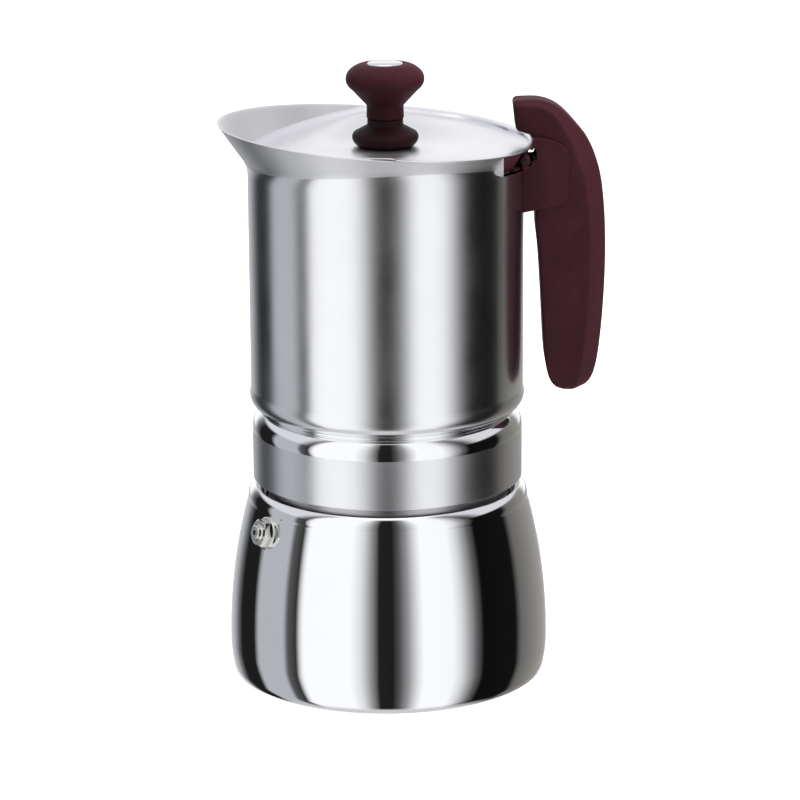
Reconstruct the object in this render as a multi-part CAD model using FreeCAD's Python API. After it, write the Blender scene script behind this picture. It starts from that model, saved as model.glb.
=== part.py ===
"""Stove-top moka pot: steel boiler, filter funnel, screw-on vessel, hinged lid and moulded handle.

Millimetres. The origin is the centre of the boiler's bottom face, +Z up. The handle is on +X and
the pouring lip on -X. Each physical piece is one STEP file in parts/.
"""
import FreeCAD
import Part
import math
import os

V = FreeCAD.Vector
Y_AXIS = V(0, 1, 0)
Z_AXIS = V(0, 0, 1)

# ---- driving dimensions -------------------------------------------------------------------
BELLY_R = 52.9            # widest radius of the boiler
BELLY_Z = 11.0            # height of the widest point
BELLY_ARC_R = 178.4       # the boiler's side is an arc of this radius
FOOT_R = 50.7             # radius where the bottom rounding meets the base plane
SIDE_TOP_Z = 59.0         # where the side arc ends and the shoulder begins
SHOULDER_R = 44.0         # outer edge of the flat top round the neck
SHOULDER_Z = 64.0
BOILER_WALL = 1.4

NECK_BORE_R = 36.6
NECK_R = 39.8             # thread root on the neck
NECK_TOP_Z = 79.6
THREAD_PITCH = 3.0
THREAD_DEPTH = 0.8

COLLAR_R = 44.5
COLLAR_BOTTOM_Z = 66.3
COLLAR_TOP_Z = 82.3
WAIST_R = 41.8
WAIST_Z = 88.9
CEILING_Z = 83.5          # the collar's inner ceiling, above the sieve plate

VESSEL_R = 44.8
VESSEL_BOTTOM_Z = 90.0
VESSEL_WALL = 0.8
WALL_TOP_Z = 175.5        # top of the straight wall, hidden inside the flare

FLARE_R = 41.6            # the flare's rulings all start on this circle
FLARE_Z = 166.1
RIM_CENTRE_X = -3.2
RIM_A = 51.2              # half length of the rim, spout to handle
RIM_B = 47.3              # half width of the rim
RIM_Z = 180.4             # rim height at x = 0
RIM_SLOPE = 0.0727        # the rim drops this much per millimetre towards the handle

LID_R = 48.2
LID_SHEET = 0.55
LID_LIP_GAP = 0.3         # lip above the rim
LID_STEP = 1.4            # the face lies this far below the lip
LID_DISH_R = 44.7         # outer radius of the lid's short wall
LID_SEAT_R = 10.0         # flat seat under the knob, in the middle of the dished face
LID_SEAT_Z = 176.1
LID_DISH_RISE = 0.121     # the dished face rises this much per millimetre of radius
LID_BEND_X = -4.5         # across this line the lid bends down towards the spout
LID_BEND_SLOPE = 0.169
LID_BEND_TANGENT = 6.5
LID_OVERHANG_X = 3.0      # from here towards the handle the lip lies over the rim

PIN_X = 44.6
PIN_Z = 174.2
PIN_R = 0.8
KNUCKLE_R = 1.5
HINGE_CLEARANCE_R = 5.4   # room round the pin for the lid's rear edge
CHEEK_CLEARANCE_R = 4.9   # the same at the arm's two sides, where the lid's edge is nearer
CHEEK_Y = 7.4
NOTCH_HALF = 29.0         # half width of the notch in the rim for the hinge
NOTCH_Z = 171.6

HANDLE_HALF = 8.0
ARM_HALF = 8.5
ARM_END_X = 58.9

VALVE_AZIMUTH = 214.3
VALVE_Z = 53.6


# ---- helpers ------------------------------------------------------------------------------
def outline(*steps):
    """A closed face in the XZ plane. A step is a point (x, z), or (mid, end) for an arc."""
    start = V(steps[0][0], 0, steps[0][1])
    edges = []
    here = start
    for step in steps[1:]:
        if isinstance(step[0], tuple):
            middle = V(step[0][0], 0, step[0][1])
            end = V(step[1][0], 0, step[1][1])
            edges.append(Part.Arc(here, middle, end).toShape())
        else:
            end = V(step[0], 0, step[1])
            edges.append(Part.LineSegment(here, end).toShape())
        here = end
    if (here - start).Length > 1e-6:
        edges.append(Part.LineSegment(here, start).toShape())
    return Part.Face(Part.Wire(edges))


def turned(*steps):
    """The outline revolved about the vertical axis."""
    return outline(*steps).revolve(V(0, 0, 0), Z_AXIS, 360)


def across(half_width, *steps):
    """The outline extruded along Y, from -half_width to +half_width."""
    solid = outline(*steps).extrude(V(0, 2 * half_width, 0))
    solid.translate(V(0, -half_width, 0))
    return solid


def disc(radius, z_low, z_high, x=0.0, y=0.0):
    return Part.makeCylinder(radius, z_high - z_low, V(x, y, z_low))


def tube(r_in, r_out, z_low, z_high):
    return disc(r_out, z_low, z_high).cut(disc(r_in, z_low - 1, z_high + 1))


def block(x_low, x_high, y_low, y_high, z_low, z_high):
    return Part.makeBox(x_high - x_low, y_high - y_low, z_high - z_low, V(x_low, y_low, z_low))


def y_rod(radius, y_low, y_high, x=PIN_X, z=PIN_Z):
    return Part.makeCylinder(radius, y_high - y_low, V(x, y_low, z), Y_AXIS)


def joined(shapes):
    whole = shapes[0]
    for shape in shapes[1:]:
        whole = whole.fuse(shape)
    return whole.removeSplitter()


def belly_radius(z, inset=0.0):
    """Radius of the boiler's arched side at height z."""
    arc = BELLY_ARC_R - inset
    return BELLY_R - BELLY_ARC_R + math.sqrt(arc ** 2 - (z - BELLY_Z) ** 2)


def belly_arc(z_from, z_to, inset=0.0):
    """Arc step along the boiler's side, from z_from (already reached) to z_to."""
    z_mid = (z_from + z_to) / 2
    return ((belly_radius(z_mid, inset), z_mid), (belly_radius(z_to, inset), z_to))


def thread_steps(r_root, depth, z_start, turns):
    """Rounded thread turns along a wall. A negative depth and turns cut a nut's thread downwards."""
    pitch = math.copysign(THREAD_PITCH, turns)
    steps = [(r_root, z_start)]
    for turn in range(abs(turns)):
        z = z_start + turn * pitch
        steps.append(((r_root + depth, z + pitch / 2), (r_root, z + pitch)))
    return steps


# ---- boiler -------------------------------------------------------------------------------
def boiler_shell():
    inner_top = SHOULDER_Z - BOILER_WALL
    inner_floor = 3.4
    shell = turned(
        (0, 1.8),
        (46.0, 1.8),
        (46.8, 0),
        (FOOT_R, 0),
        ((BELLY_R - 1.15, 0.9), (BELLY_R - 0.75, 2.9)),
        ((BELLY_R - 0.18, 6.8), (BELLY_R, BELLY_Z)),
        belly_arc(BELLY_Z, SIDE_TOP_Z),
        ((SHOULDER_R + 1.5, 61.9), (SHOULDER_R, SHOULDER_Z)),
        (NECK_R, SHOULDER_Z),
        (NECK_R, inner_top),
        (SHOULDER_R - 2.2, inner_top),
        ((belly_radius(60.8, BOILER_WALL) - 0.3, 61.9), (belly_radius(60.0, BOILER_WALL), 60.0)),
        belly_arc(60.0, BELLY_Z, BOILER_WALL),
        ((BELLY_R - 3.0, 5.6), (BELLY_R - 7.5, inner_floor)),
        (0, inner_floor),
    )
    return shell.cut(on_valve_axis(disc(3.1, -6, 6)))


def base_disc():
    """Sandwich plate pressed on under the boiler, just inside the foot ring."""
    return turned((0, 0), (44.6, 0), (45.4, 0.8), (45.4, 1.8), (0, 1.8))


def boiler_neck():
    """Threaded ring welded into the boiler's mouth."""
    steps = [(NECK_BORE_R, 60.6), (NECK_R, 60.6), (NECK_R, 67.2)]
    steps += thread_steps(NECK_R, THREAD_DEPTH, 67.6, 3)
    steps += [(NECK_R, NECK_TOP_Z - 0.8), (NECK_R - 0.8, NECK_TOP_Z), (NECK_BORE_R, NECK_TOP_Z)]
    return turned(*steps)


# ---- safety valve, drawn along +Z with z = 0 on the boiler's outer face ----------------------
def valve_direction():
    tilt = math.asin((VALVE_Z - BELLY_Z) / BELLY_ARC_R)
    turn = math.radians(VALVE_AZIMUTH)
    return V(math.cos(turn) * math.cos(tilt), math.sin(turn) * math.cos(tilt), math.sin(tilt))


def on_valve_axis(shape):
    turn = math.radians(VALVE_AZIMUTH)
    radius = belly_radius(VALVE_Z)
    centre = V(radius * math.cos(turn), radius * math.sin(turn), VALVE_Z)
    placed = shape.copy()
    placed.Placement = FreeCAD.Placement(centre, FreeCAD.Rotation(Z_AXIS, valve_direction()))
    return placed


def hexagon(across_flats, z_low, z_high):
    corner = across_flats / math.sqrt(3)
    points = [V(corner * math.cos(math.radians(60 * i)), corner * math.sin(math.radians(60 * i)), z_low)
              for i in range(7)]
    prism = Part.Face(Part.makePolygon(points)).extrude(V(0, 0, z_high - z_low))
    chamfer = turned((0, z_low), (corner, z_low), (corner, z_high - 0.5),
                     (across_flats / 2, z_high), (0, z_high))
    return prism.common(chamfer)


def valve_body():
    head = hexagon(8.0, 0.9, 3.4)
    stud = turned((0, 3.4), (2.7, 3.4), (2.3, 3.8), (2.3, 4.6), (2.0, 4.9), (0, 4.9))
    stem = disc(3.0, -6.4, 0.9)
    bore = joined([disc(0.85, -7, 6), disc(1.9, -7, 2.6)])
    return on_valve_axis(joined([head, stud, stem]).cut(bore))


def valve_washer():
    ring = turned((3.1, -1.0), (5.3, -1.0), (5.3, 0.5), (4.9, 0.9), (3.1, 0.9))
    return on_valve_axis(ring).cut(turned((0, 30), (belly_radius(30), 30), belly_arc(30, 61), (0, 61)))


def valve_nut():
    return on_valve_axis(hexagon(9.0, -4.3, -1.75).cut(disc(3.0, -7, 6)))


def valve_seat():
    """Brass ring at the inner end of the valve, which the plunger's head closes."""
    return on_valve_axis(tube(1.15, 1.9, -6.4, -5.6))


def valve_spring():
    """Closed sleeve of the spring's size, between the plunger's collar and the head's shoulder."""
    return on_valve_axis(tube(0.95, 1.7, -2.6, 2.5))


def valve_pin():
    pin = turned((0, -5.4), (1.6, -5.4), (1.6, -2.7), (0.7, -2.7), (0.7, 4.5), (0.4, 4.8), (0, 4.8))
    return on_valve_axis(pin)


# ---- filter funnel ----------------------------------------------------------------------------
FUNNEL_TOP_Z = NECK_TOP_Z + 0.8
BASKET_R = 35.9
BASKET_FLOOR_Z = 57.5
STEM_R = 5.6
STEM_END_Z = 7.5


def filter_funnel():
    sheet = 0.8
    return turned(
        (BASKET_R - sheet, FUNNEL_TOP_Z),
        (39.0, FUNNEL_TOP_Z),
        (39.0, NECK_TOP_Z),
        (BASKET_R, NECK_TOP_Z),
        (BASKET_R, BASKET_FLOOR_Z + 3),
        (BASKET_R - 2.2, BASKET_FLOOR_Z),
        (STEM_R + 3.5, BASKET_FLOOR_Z - 2.0),
        (STEM_R, BASKET_FLOOR_Z - 5.5),
        (STEM_R, STEM_END_Z),
        (STEM_R - sheet, STEM_END_Z),
        (STEM_R - sheet, BASKET_FLOOR_Z - 5.0),
        (STEM_R + 3.0, BASKET_FLOOR_Z - 1.2),
        (BASKET_R - 2.6, BASKET_FLOOR_Z + 0.8),
        (BASKET_R - sheet, BASKET_FLOOR_Z + 3.2),
    )


def perforated(plate, rings, spacing, hole_r, z_low, z_high):
    """The plate with a centre hole and rings of 6, 12, 18 ... holes."""
    drills = [disc(hole_r, z_low, z_high)]
    for ring in range(1, rings + 1):
        for i in range(6 * ring):
            angle = 2 * math.pi * i / (6 * ring)
            drills.append(disc(hole_r, z_low, z_high,
                               ring * spacing * math.cos(angle), ring * spacing * math.sin(angle)))
    return plate.cut(Part.makeCompound(drills))


def funnel_sieve():
    z = BASKET_FLOOR_Z + 3.2
    return perforated(disc(BASKET_R - 0.8, z, z + 0.6), 6, 5.0, 0.9, z - 1, z + 2)


# ---- gasket and upper sieve -----------------------------------------------------------------
GASKET_TOP_Z = 82.8


def gasket():
    return turned((31.5, 80.9), (31.9, 80.45), (38.6, 80.45), (39.0, 80.9),
                  (39.0, GASKET_TOP_Z), (31.5, GASKET_TOP_Z))


def upper_sieve():
    z = GASKET_TOP_Z + 0.05
    return perforated(disc(37.6, z, z + 0.6), 5, 5.2, 0.8, z - 1, z + 2)


# ---- vessel -----------------------------------------------------------------------------------
def collar():
    """Threaded foot of the vessel, with a polished shoulder that runs in to the waist bead."""
    steps = [
        (COLLAR_R, COLLAR_BOTTOM_Z + 0.4),
        (COLLAR_R, COLLAR_TOP_Z),
        ((COLLAR_R - 0.45, 85.8), (WAIST_R, WAIST_Z)),
        ((WAIST_R + 0.35, WAIST_Z + 0.55), (WAIST_R - 0.2, VESSEL_BOTTOM_Z)),
        (38.0, VESSEL_BOTTOM_Z),
        (38.0, CEILING_Z + 1.3),
        (5.2, CEILING_Z + 1.3),
        (5.2, CEILING_Z),
        (39.4, CEILING_Z),
        (39.4, 80.0),
        (41.9, 79.4),
    ]
    steps += thread_steps(41.9, -THREAD_DEPTH, 78.6, -3)
    steps += [(41.9, COLLAR_BOTTOM_Z + 1.0), (42.5, COLLAR_BOTTOM_Z), (COLLAR_R - 0.4, COLLAR_BOTTOM_Z)]
    return turned(*steps)


def flare(inset=0.0, reach=1.0):
    """Solid funnel from the start circle to the sloping rim ellipse.

    reach stretches the rulings past the rim, and inset makes the funnel smaller all round.
    """
    grow = 1.0 - reach
    half_length = grow * FLARE_R + reach * RIM_A - inset
    half_width = grow * FLARE_R + reach * RIM_B - inset
    centre_x = reach * RIM_CENTRE_X
    drop = -reach * RIM_SLOPE * RIM_A / (half_length + inset)
    centre_z = grow * FLARE_Z + reach * (RIM_Z - RIM_SLOPE * RIM_CENTRE_X)
    centre = V(centre_x, 0, centre_z)
    top = Part.Ellipse(centre + V(half_length, 0, half_length * drop), centre + V(0, half_width, 0), centre)
    start = Part.Circle(V(0, 0, FLARE_Z), Z_AXIS, FLARE_R - inset)
    wires = [Part.Wire(start.toShape()), Part.Wire(top.toShape())]
    return Part.makeLoft(wires, True, True)


def below_rim(offset):
    """Everything up to the rim plane raised by offset, between x = -70 and 70."""
    reach = 70.0
    return across(reach, (-reach, 60), (reach, 60), (reach, RIM_Z + offset - RIM_SLOPE * reach),
                  (-reach, RIM_Z + offset + RIM_SLOPE * reach))


def hinge_notch():
    return block(20, 70, -NOTCH_HALF, NOTCH_HALF, NOTCH_Z, 200)


def vessel():
    outer_wall = turned(
        (0, VESSEL_BOTTOM_Z),
        (42.6, VESSEL_BOTTOM_Z),
        ((44.3, 91.6), (VESSEL_R, 96.5)),
        (VESSEL_R, WALL_TOP_Z),
        (0, WALL_TOP_Z),
    )
    inner_r = VESSEL_R - VESSEL_WALL
    inner_wall = turned(
        (0, VESSEL_BOTTOM_Z - 1),
        (41.0, VESSEL_BOTTOM_Z - 1),
        (41.0, VESSEL_BOTTOM_Z + 0.8),
        ((43.2, 92.4), (inner_r, 96.9)),
        (inner_r, WALL_TOP_Z + 20),
        (0, WALL_TOP_Z + 20),
    )
    skin = outer_wall.fuse(flare()).cut(inner_wall)
    return skin.cut(flare(VESSEL_WALL, 1.3)).cut(hinge_notch())


def vessel_floor():
    """Dished floor, welded to the wall's turned-in edge and to the column."""
    return turned((6.9, 93.6), (10.5, 91.8), (41.0, 90.8), (41.0, VESSEL_BOTTOM_Z), (10.0, 91.0),
                  (6.9, 92.6))


def column():
    """Rising tube for the coffee."""
    return turned((5.1, CEILING_Z + 0.1), (5.1, 86.0), (6.8, 88.0), (6.8, 96.0), (5.4, 146.0),
                  (4.4, 146.0), (4.4, 150.0), (3.5, 150.0), (3.5, CEILING_Z + 0.1))


def column_cap():
    """Hood on the column with two outlets on its sides."""
    hood = turned((4.45, 146.1), (6.2, 146.1), (7.2, 149.0), (7.2, 154.0), (5.0, 157.0), (0, 158.2),
                  (0, 157.0), (4.4, 156.0), (5.8, 153.8), (5.8, 150.2), (4.45, 150.2))
    outlet = block(-12, 12, -1.5, 1.5, 151.2, 154.2)
    return hood.cut(outlet)


# ---- hinge -----------------------------------------------------------------------------------
def hinge_block():
    """Moulded block that fills the rim notch and carries the fixed hinge knuckles."""
    gap = 0.3
    ends = flare().cut(flare(1.4, 1.3)).common(below_rim(-0.1))
    ends = ends.common(block(30, 60, -NOTCH_HALF + gap, NOTCH_HALF - gap, NOTCH_Z, 200))
    ends = ends.cut(block(20, 60, -19.5, 19.5, 160, 200))
    strip = tube(43.6, 46.4, NOTCH_Z, NOTCH_Z + 0.7).common(block(30, 60, -21.5, 21.5, 160, 200))
    parts = [strip, ends]
    for y_low, y_high in ((-18.0, -12.3), (-5.0, 5.0), (12.3, 18.0)):
        parts.append(y_rod(KNUCKLE_R, y_low, y_high))
        parts.append(block(PIN_X - 1.0, PIN_X + 1.0, y_low, y_high, NOTCH_Z, PIN_Z))
    return joined(parts).cut(y_rod(PIN_R, -30, 30))


def hinge_pin():
    return y_rod(PIN_R, -18.4, 18.4)


# ---- lid ----------------------------------------------------------------------------------------
def lid_level(x):
    """Height of the lip's underside along the lid, before the bend is rounded."""
    flat_end = RIM_Z + LID_LIP_GAP - RIM_SLOPE * LID_BEND_X
    if x >= LID_BEND_X:
        return flat_end - RIM_SLOPE * (x - LID_BEND_X)
    return flat_end + LID_BEND_SLOPE * (x - LID_BEND_X)


def lid_curve(shift):
    """Steps from the handle end to the spout end along the bent lid, raised by shift."""
    half_turn = (math.atan(RIM_SLOPE) + math.atan(LID_BEND_SLOPE)) / 2
    sag = LID_BEND_TANGENT * math.tan(half_turn / 2)
    near = LID_BEND_X + LID_BEND_TANGENT
    far = LID_BEND_X - LID_BEND_TANGENT
    end = 60.0
    return [
        (end, lid_level(end) + shift),
        (near, lid_level(near) + shift),
        ((LID_BEND_X, lid_level(LID_BEND_X) - sag + shift), (far, lid_level(far) + shift)),
        (-end, lid_level(-end) + shift),
    ]


def lid_band(low, high):
    """The space between the bent lid surface raised by low and by high."""
    lower = lid_curve(low)
    upper = lid_curve(high)
    backwards = [upper[3], upper[2][1], (upper[2][0], upper[1]), upper[0]]
    return across(60, *lower, *backwards)


def lid_face():
    """Sunken face: it follows the bend near the wall and dishes down to the knob's seat."""
    edge_z = LID_SEAT_Z + (60 - LID_SEAT_R) * LID_DISH_RISE
    dish = turned((0, 150), (60, 150), (60, edge_z), (LID_SEAT_R, LID_SEAT_Z), (0, LID_SEAT_Z))
    below = lid_band(-30, LID_SHEET - LID_STEP).common(dish).common(disc(LID_DISH_R, 155, 220))
    hollow = below.copy()
    hollow.translate(V(0, 0, -LID_SHEET))
    return below.cut(hollow).common(disc(LID_DISH_R, 160, 220))


def lid():
    """Bent plate: dished face, short wall, and a lip that rests over the rim or in the flare."""
    behind = block(LID_OVERHANG_X, 70, -70, 70, 150, 220)
    inside = flare(VESSEL_WALL + 0.5, 1.3)
    shape = disc(LID_R, 150, 220).common(behind.fuse(inside))
    face = lid_face()
    wall = lid_band(-LID_STEP, LID_SHEET).common(tube(LID_DISH_R - LID_SHEET, LID_DISH_R, 150, 220))
    lip = lid_band(0, LID_SHEET).common(shape).cut(disc(LID_DISH_R - LID_SHEET, 150, 220))
    return joined([face, wall, lip]).cut(disc(2.2, 150, 220))


def lid_lugs():
    """Two hinge lugs welded under the lid's rear edge."""
    parts = []
    for side in (-1, 1):
        y_low, y_high = sorted((side * 5.3, side * 12.0))
        barrel = y_rod(KNUCKLE_R, y_low, y_high)
        web = block(PIN_X - 4.0, PIN_X + 1.2, y_low, y_high, PIN_Z, PIN_Z + 4)
        parts.append(barrel.fuse(web).cut(y_rod(PIN_R + 0.05, -30, 30)))
    under = lid_band(-30, -LID_STEP)
    return Part.makeCompound([part.common(under).removeSplitter() for part in parts])


# ---- knob -----------------------------------------------------------------------------------
def knob_foot():
    foot = turned(
        (0, LID_SEAT_Z),
        (9.0, LID_SEAT_Z),
        ((10.35, 177.2), (10.75, 179.0)),
        ((10.6, 180.1), (10.0, 180.9)),
        (5.8, 183.2),
        (5.8, 185.2),
        (0, 185.2),
    )
    return foot.cut(disc(2.05, 150, 220))


def knob():
    return turned(
        (2.05, 185.5),
        (6.0, 185.5),
        (6.0, 189.9),
        (11.6, 195.4),
        ((12.75, 198.4), (11.4, 200.9)),
        ((9.2, 202.4), (6.1, 203.1)),
        (5.8, 202.2),
        (2.05, 202.2),
    )


def knob_disc():
    return turned((0, 202.2), (5.75, 202.2), (5.75, 203.1), (5.2, 203.5), (0, 203.5))


def knob_screw():
    return turned((0, 172.9), (3.6, 172.9), (3.8, 173.4), (3.8, 175.0), (2.0, 175.0), (2.0, 200.0),
                  (0, 200.0))


def knob_washer():
    """Washer between the screw's head and the underside of the lid's seat."""
    return tube(2.2, 5.6, 175.0, LID_SEAT_Z - LID_SHEET)


# ---- handle ---------------------------------------------------------------------------------
# Stations along the handle, from its lower end to the nose over the lid. Each is the inner edge,
# the back edge (x, z), and the share of that width where the side panel turns into the back.
HANDLE_STATIONS = (
    ((57.2, 95.2), (64.6, 96.3), 0.55),
    ((53.4, 99.0), (68.2, 100.2), 0.62),
    ((51.4, 108.5), (69.7, 110.2), 0.68),
    ((50.4, 127.0), (71.2, 128.5), 0.69),
    ((49.5, 140.2), (71.4, 141.5), 0.69),
    ((48.2, 153.8), (70.8, 156.5), 0.69),
    ((47.4, 164.0), (68.9, 169.6), 0.66),
    ((47.6, 173.5), (63.6, 181.2), 0.62),
    ((45.6, 178.6), (57.6, 188.3), 0.68),
    ((44.2, 180.8), (49.6, 191.9), 0.80),
    ((42.9, 181.3), (42.3, 191.6), 0.86),
)
NOSE_HALF = 6.4
PANEL_BACK_HALF = 3.2     # half width of the rounded back


def handle_station(inner, back, share, half):
    """Six-sided wire: inner edge, two side panels and two slanted faces that meet at the back."""
    ridge = (inner[0] + share * (back[0] - inner[0]), inner[1] + share * (back[1] - inner[1]))
    corners = [(inner, -half + 1.0), (ridge, -half), (back, -PANEL_BACK_HALF),
               (back, PANEL_BACK_HALF), (ridge, half), (inner, half - 1.0)]
    points = [V(place[0], y, place[1]) for place, y in corners]
    return Part.makePolygon(points + [points[0]])


def handle_blank():
    wires = []
    last = len(HANDLE_STATIONS) - 1
    for index, (inner, back, share) in enumerate(HANDLE_STATIONS):
        half = NOSE_HALF if index in (0, last) else HANDLE_HALF
        wires.append(handle_station(inner, back, share, half))
    return Part.makeLoft(wires, True, False)


def lid_sweep_room():
    """Room for the lid's rear edge, which swings down behind the pin as the lid opens."""
    return joined([
        y_rod(HINGE_CLEARANCE_R, -CHEEK_Y, CHEEK_Y),
        y_rod(CHEEK_CLEARANCE_R, -25, 25),
        block(40, PIN_X + 3, -25, 25, 171.5, PIN_Z),
    ])


def arm_blank():
    arm = across(
        ARM_HALF,
        (44.0, 155.4),
        (54.6, 157.6),
        ((57.6, 158.7), (ARM_END_X, 161.5)),
        (ARM_END_X, 172.5),
        ((57.9, 176.6), (54.6, 178.6)),
        (50.0, 180.2),
        (44.0, 180.2),
    )
    return arm.cut(lid_sweep_room())


def bracket_room():
    return joined([
        tube(VESSEL_R, VESSEL_R + 1.2, 157.0, 170.0).common(block(40, 50, -7.0, 7.0, 150, 180)),
        block(VESSEL_R + 0.6, 57.0, -5.0, 5.0, 162.8, 165.2),
    ])


SCREW_X = 52.6


def handle_bracket():
    """Steel strip welded to the wall, which the handle is screwed to."""
    return bracket_room().cut(disc(2.0, 150, 180, SCREW_X))


def handle_screw():
    head = disc(3.4, 158.6, 160.6, SCREW_X)
    slot = block(SCREW_X - 4, SCREW_X + 4, -0.5, 0.5, 158, 159.3)
    return joined([head, disc(2.0, 160.6, 167.0, SCREW_X)]).cut(slot)


def screw_room():
    return joined([disc(3.7, 150, 160.6, SCREW_X), disc(2.0, 160.6, 167.0, SCREW_X)])


def handle_arm():
    """Moulded arm between the wall and the grip."""
    arm = arm_blank().cut(disc(VESSEL_R, 100, 220)).cut(flare(-0.3, 1.3))
    return arm.cut(bracket_room()).cut(screw_room())


def handle():
    grip = handle_blank().cut(arm_blank()).cut(lid_sweep_room())
    return grip.cut(screw_room()).cut(flare(-0.3, 1.3))


PIECES = {
    "boiler_shell": boiler_shell,
    "base_disc": base_disc,
    "boiler_neck": boiler_neck,
    "valve_body": valve_body,
    "valve_washer": valve_washer,
    "valve_nut": valve_nut,
    "valve_seat": valve_seat,
    "valve_spring": valve_spring,
    "valve_pin": valve_pin,
    "filter_funnel": filter_funnel,
    "funnel_sieve": funnel_sieve,
    "gasket": gasket,
    "upper_sieve": upper_sieve,
    "collar": collar,
    "vessel": vessel,
    "vessel_floor": vessel_floor,
    "column": column,
    "column_cap": column_cap,
    "hinge_block": hinge_block,
    "hinge_pin": hinge_pin,
    "lid": lid,
    "lid_lugs": lid_lugs,
    "knob_foot": knob_foot,
    "knob": knob,
    "knob_disc": knob_disc,
    "knob_screw": knob_screw,
    "knob_washer": knob_washer,
    "handle_bracket": handle_bracket,
    "handle_screw": handle_screw,
    "handle_arm": handle_arm,
    "handle": handle,
}


def main():
    os.makedirs("parts", exist_ok=True)
    for node, make in PIECES.items():
        shape = make()
        solids = len(shape.Solids)
        print(f"{node:16s} solids {solids}  valid {shape.isValid()}  volume {shape.Volume:10.1f} mm3")
        shape.exportStep(f"parts/{node}.step")


main()
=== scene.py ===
import math

import bmesh
import bpy
from mathutils import Matrix, Vector


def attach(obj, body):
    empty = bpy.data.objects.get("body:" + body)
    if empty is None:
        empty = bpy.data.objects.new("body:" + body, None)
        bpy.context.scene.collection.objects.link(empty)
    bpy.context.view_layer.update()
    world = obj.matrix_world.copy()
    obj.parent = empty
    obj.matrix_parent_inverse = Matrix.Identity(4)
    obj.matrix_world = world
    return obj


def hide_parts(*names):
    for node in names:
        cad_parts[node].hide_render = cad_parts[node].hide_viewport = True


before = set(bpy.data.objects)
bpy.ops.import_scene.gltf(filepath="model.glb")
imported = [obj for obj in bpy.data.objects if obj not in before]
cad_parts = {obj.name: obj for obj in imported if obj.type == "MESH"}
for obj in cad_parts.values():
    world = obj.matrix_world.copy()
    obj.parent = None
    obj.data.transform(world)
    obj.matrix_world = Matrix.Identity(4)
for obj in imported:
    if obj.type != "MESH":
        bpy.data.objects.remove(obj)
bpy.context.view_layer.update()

# ---- sizes, in millimetres; the mesh makers turn them into metres -------------------------------
MM = 0.001
BELLY_R, BELLY_Z, BELLY_ARC_R = 52.9, 11.0, 178.4
FOOT_R = 50.7
SIDE_TOP_Z, SHOULDER_R, SHOULDER_Z = 59.0, 44.0, 64.0
BOILER_WALL = 1.4
NECK_BORE_R, NECK_R, NECK_TOP_Z = 36.6, 39.8, 79.6
THREAD_PITCH, THREAD_DEPTH, THREAD_FADE = 3.0, 0.8, 1.5
NECK_CHAMFER = 0.8
COLLAR_R, COLLAR_BOTTOM_Z, COLLAR_TOP_Z = 44.5, 66.3, 82.3
CEILING_Z = 83.5
WAIST_R, WAIST_Z = 41.8, 88.9
VESSEL_R, VESSEL_BOTTOM_Z, VESSEL_WALL, WALL_START_Z = 44.8, 90.0, 0.8, 97.0
FLARE_R, FLARE_Z = 41.6, 166.1
RIM_CENTRE_X, RIM_A, RIM_B, RIM_Z, RIM_SLOPE = -3.2, 51.2, 47.3, 180.4, 0.0727
NOTCH_HALF, NOTCH_Z = 29.0, 171.6
CREASE_BLEND = 3.0
LID_SEAT_R, LID_SEAT_Z, LID_DISH_RISE = 10.0, 176.1, 0.121
LID_R, LID_SHEET, LID_LIP_GAP, LID_LIP_RISE, LID_STEP = 48.2, 0.55, 0.3, 0.5, 1.4
LID_DISH_R = 44.7
LID_FACE_R = LID_DISH_R - 4.2
LID_BEND_X, LID_BEND_SLOPE, LID_BEND_TANGENT, LID_OVERHANG_X = -4.5, 0.169, 6.5, 3.0
PIN_X, PIN_Z, HINGE_ROOM_R = 44.6, 174.2, 5.4
ARM_HALF, CHEEK_HALF, CHEEK_ROOM_R = 8.5, 7.4, 4.0
KNOB_BORE_R, KNOB_Z, DISC_SEAT_Z = 2.05, 185.5, 202.2

# ---- where the camera stands ---------------------------------------------------------------------
CAMERA_PLACE = (0.0, -1.0999, 0.39182)
CAMERA_PITCH = math.radians(15.30)
CAMERA_ROLL = math.radians(-0.386)
CAMERA_LENS = 155.54
CAMERA_SHIFT_X = 0.0161


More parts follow.
